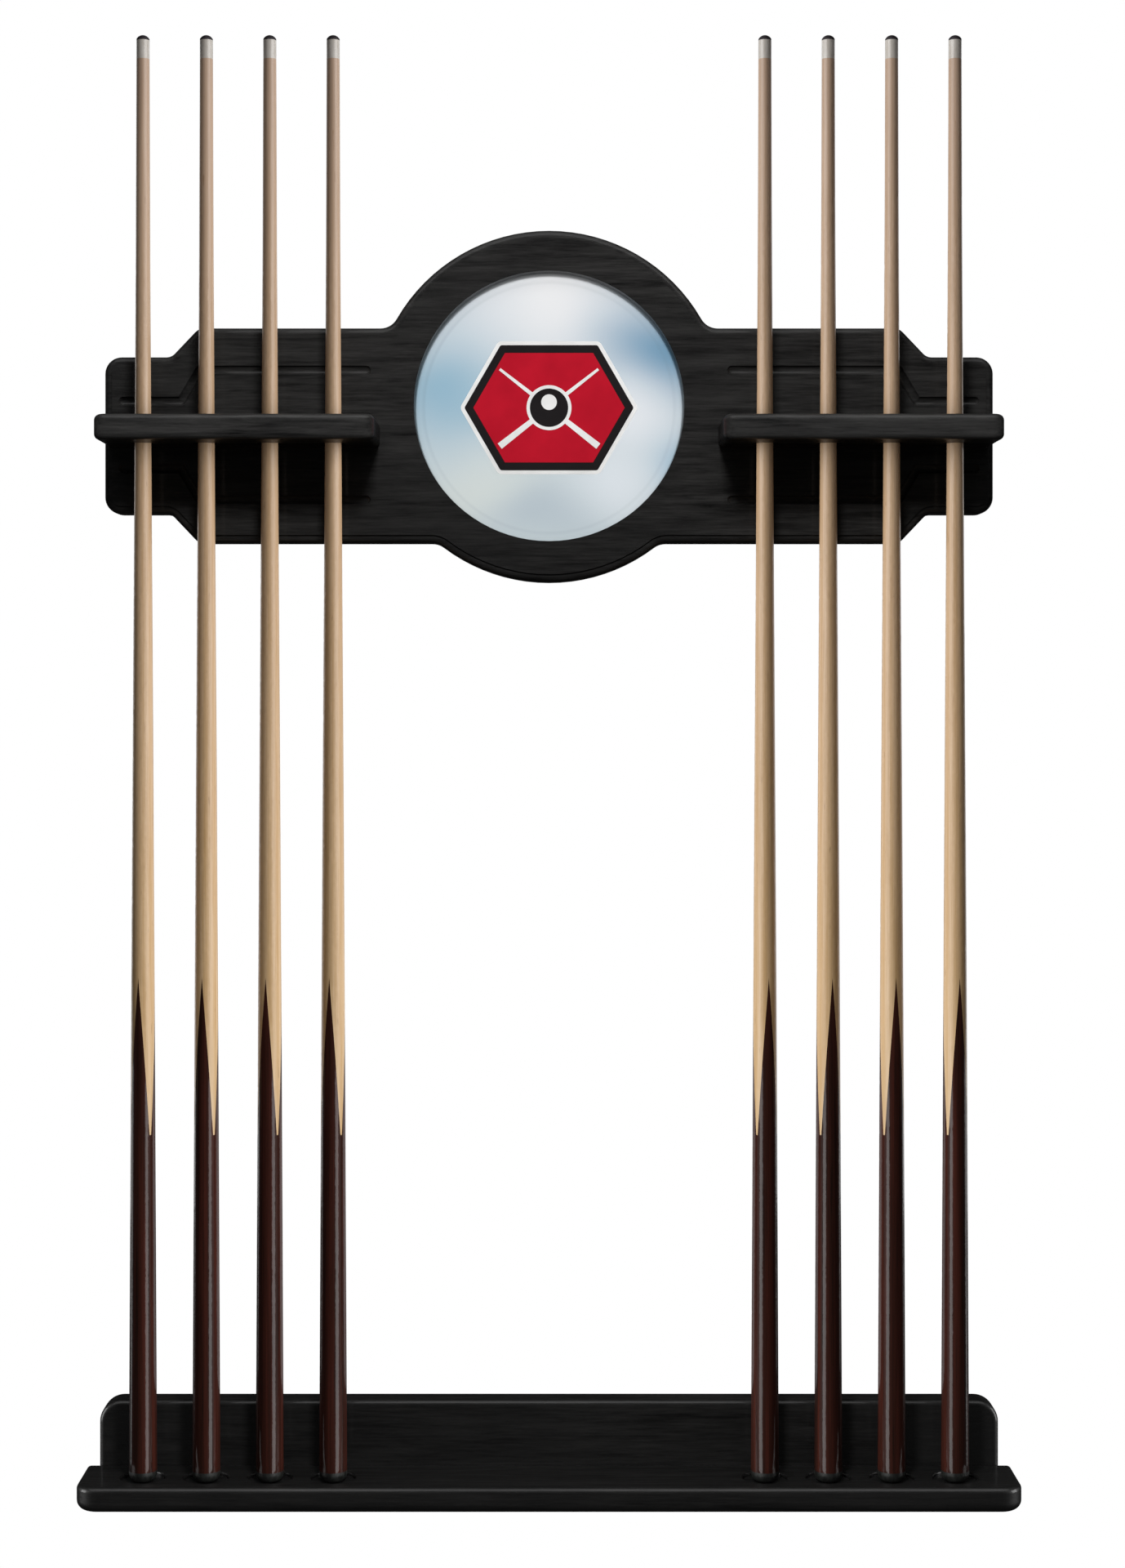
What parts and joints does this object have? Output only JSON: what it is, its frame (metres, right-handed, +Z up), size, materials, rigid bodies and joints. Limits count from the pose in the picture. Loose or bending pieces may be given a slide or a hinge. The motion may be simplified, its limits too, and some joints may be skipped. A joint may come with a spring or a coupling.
{
  "type": "wall cue rack",
  "caption": "Two-piece wall rack that stands billiard cues in a cupped shelf and steadies their shafts in holed arms beside a round framed mirror.",
  "frame": {"origin": "centre of the lower board's rear face, on the wall plane", "axes": "+X to the right seen from the room, +Y into the wall, +Z up along the cues"},
  "size_m": [0.9398, 0.1143, 1.4692],
  "materials": {
    "stained_wood": "black stain under satin lacquer, fine grain showing",
    "mirror": "silvered float glass",
    "hardboard": "raw hardboard",
    "plated_steel": "zinc plated",
    "screw_steel": "zinc plated",
    "print_white": "gloss print",
    "print_black": "gloss print",
    "print_red": "gloss print",
    "tip_leather": "pressed leather, chalk dulled",
    "ferrule": "polished",
    "maple": "satin lacquer over maple",
    "dark_butt": "gloss lacquer over dark hardwood",
    "bumper_rubber": "semi-gloss moulded"
  },
  "bodies": {
    "rack": {"upper_board": "stained_wood", "left_arm": "stained_wood", "right_arm": "stained_wood", "arm_screws": "screw_steel", "mirror_glass": "mirror", "mirror_backer": "hardboard", "mirror_clips": "plated_steel", "clip_screws": "screw_steel", "emblem_border": "print_white", "emblem_outline": "print_black", "emblem_field": "print_red", "emblem_motif": "print_white", "emblem_ball": "print_black", "lower_board": "stained_wood", "shelf": "stained_wood", "shelf_screws": "screw_steel", "upper_hanger_plates": "plated_steel", "lower_hanger_plates": "plated_steel", "hanger_screws": "screw_steel"},
    "cue_1": {"cue_1_tip": "tip_leather", "cue_1_ferrule": "ferrule", "cue_1_shaft": "maple", "cue_1_butt": "dark_butt", "cue_1_bumper": "bumper_rubber"},
    "cue_2": {"cue_2_tip": "tip_leather", "cue_2_ferrule": "ferrule", "cue_2_shaft": "maple", "cue_2_butt": "dark_butt", "cue_2_bumper": "bumper_rubber"},
    "cue_3": {"cue_3_tip": "tip_leather", "cue_3_ferrule": "ferrule", "cue_3_shaft": "maple", "cue_3_butt": "dark_butt", "cue_3_bumper": "bumper_rubber"},
    "cue_4": {"cue_4_tip": "tip_leather", "cue_4_ferrule": "ferrule", "cue_4_shaft": "maple", "cue_4_butt": "dark_butt", "cue_4_bumper": "bumper_rubber"},
    "cue_5": {"cue_5_tip": "tip_leather", "cue_5_ferrule": "ferrule", "cue_5_shaft": "maple", "cue_5_butt": "dark_butt", "cue_5_bumper": "bumper_rubber"},
    "cue_6": {"cue_6_tip": "tip_leather", "cue_6_ferrule": "ferrule", "cue_6_shaft": "maple", "cue_6_butt": "dark_butt", "cue_6_bumper": "bumper_rubber"},
    "cue_7": {"cue_7_tip": "tip_leather", "cue_7_ferrule": "ferrule", "cue_7_shaft": "maple", "cue_7_butt": "dark_butt", "cue_7_bumper": "bumper_rubber"},
    "cue_8": {"cue_8_tip": "tip_leather", "cue_8_ferrule": "ferrule", "cue_8_shaft": "maple", "cue_8_butt": "dark_butt", "cue_8_bumper": "bumper_rubber"}
  },
  "joints": [
    {"name": "cue_1_lift", "type": "slide", "parent": "rack", "child": "cue_1", "axis": [0, 0, 1], "range_m": [0, 0.6]},
    {"name": "cue_2_lift", "type": "slide", "parent": "rack", "child": "cue_2", "axis": [0, 0, 1], "range_m": [0, 0.6]},
    {"name": "cue_3_lift", "type": "slide", "parent": "rack", "child": "cue_3", "axis": [0, 0, 1], "range_m": [0, 0.6]},
    {"name": "cue_4_lift", "type": "slide", "parent": "rack", "child": "cue_4", "axis": [0, 0, 1], "range_m": [0, 0.6]},
    {"name": "cue_5_lift", "type": "slide", "parent": "rack", "child": "cue_5", "axis": [0, 0, 1], "range_m": [0, 0.6]},
    {"name": "cue_6_lift", "type": "slide", "parent": "rack", "child": "cue_6", "axis": [0, 0, 1], "range_m": [0, 0.6]},
    {"name": "cue_7_lift", "type": "slide", "parent": "rack", "child": "cue_7", "axis": [0, 0, 1], "range_m": [0, 0.6]},
    {"name": "cue_8_lift", "type": "slide", "parent": "rack", "child": "cue_8", "axis": [0, 0, 1], "range_m": [0, 0.6]}
  ]
}
